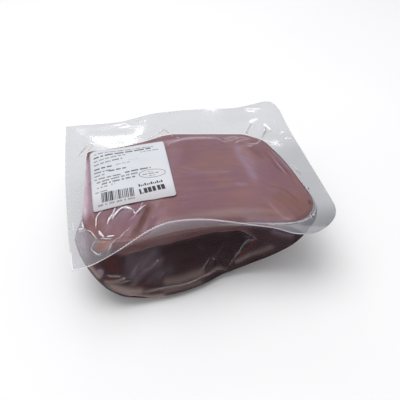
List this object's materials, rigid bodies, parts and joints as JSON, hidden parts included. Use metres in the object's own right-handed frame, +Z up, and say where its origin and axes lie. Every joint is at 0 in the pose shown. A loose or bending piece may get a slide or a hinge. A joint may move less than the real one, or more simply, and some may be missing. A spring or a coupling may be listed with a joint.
{
  "type": "vacuum-packed raw turkey breast",
  "caption": "Raw skinless turkey breast sealed in clear vacuum film with a wide welded rim and a white weight label on top.",
  "frame": {"origin": "on the surface the pack rests on, under the middle of the welded rim", "axes": "+X along the pack's long side to its rounded end, +Y to its back, +Z up"},
  "size_m": [0.2347, 0.216, 0.086],
  "materials": {
    "meat": "moist raw poultry under clinging clear film",
    "film": "clear glossy film",
    "label_paper": "smooth white thermal paper"
  },
  "bodies": {
    "root": {"breast": "meat", "film_rim": "film", "label": "label_paper"}
  },
  "joints": []
}
